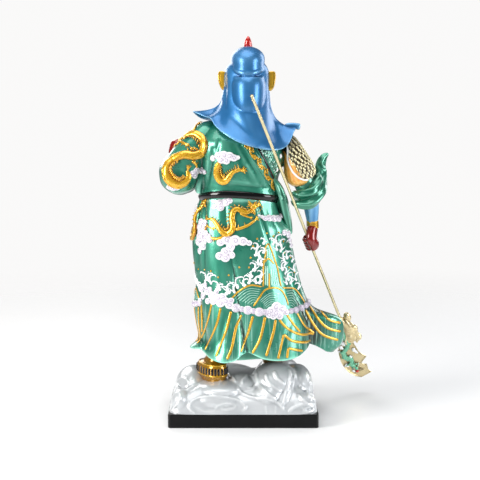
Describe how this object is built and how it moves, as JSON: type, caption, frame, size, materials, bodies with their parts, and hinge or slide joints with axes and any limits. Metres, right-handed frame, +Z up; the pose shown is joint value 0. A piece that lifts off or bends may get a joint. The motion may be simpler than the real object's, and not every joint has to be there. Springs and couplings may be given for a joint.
{
  "type": "robed guardian general figure",
  "caption": "Painted cast figure of a bearded general in a long robe, holding a glaive behind him, on a carved cloud base and a flat plinth",
  "frame": {"origin": "middle of the plinth's underside", "axes": "+Z up the standing figure; he faces -Y, his right hand with the glaive is at -X"},
  "size_m": [0.282, 0.2036, 0.48],
  "materials": {
    "robe_green": "pearl green enamel over a cast body, with the face, hood, hands and ornament in other paints",
    "cloud_silver": "glossy silver-white paint",
    "plinth_black": "black satin gloss paint",
    "shaft_gold": "satin pale gold paint",
    "blade_gold": "satin pale gold paint with enamelled relief"
  },
  "bodies": {
    "root": {"figure": "robe_green", "cloud_base": "cloud_silver", "plinth": "plinth_black", "glaive_shaft": "shaft_gold", "glaive_blade": "blade_gold"}
  },
  "joints": []
}
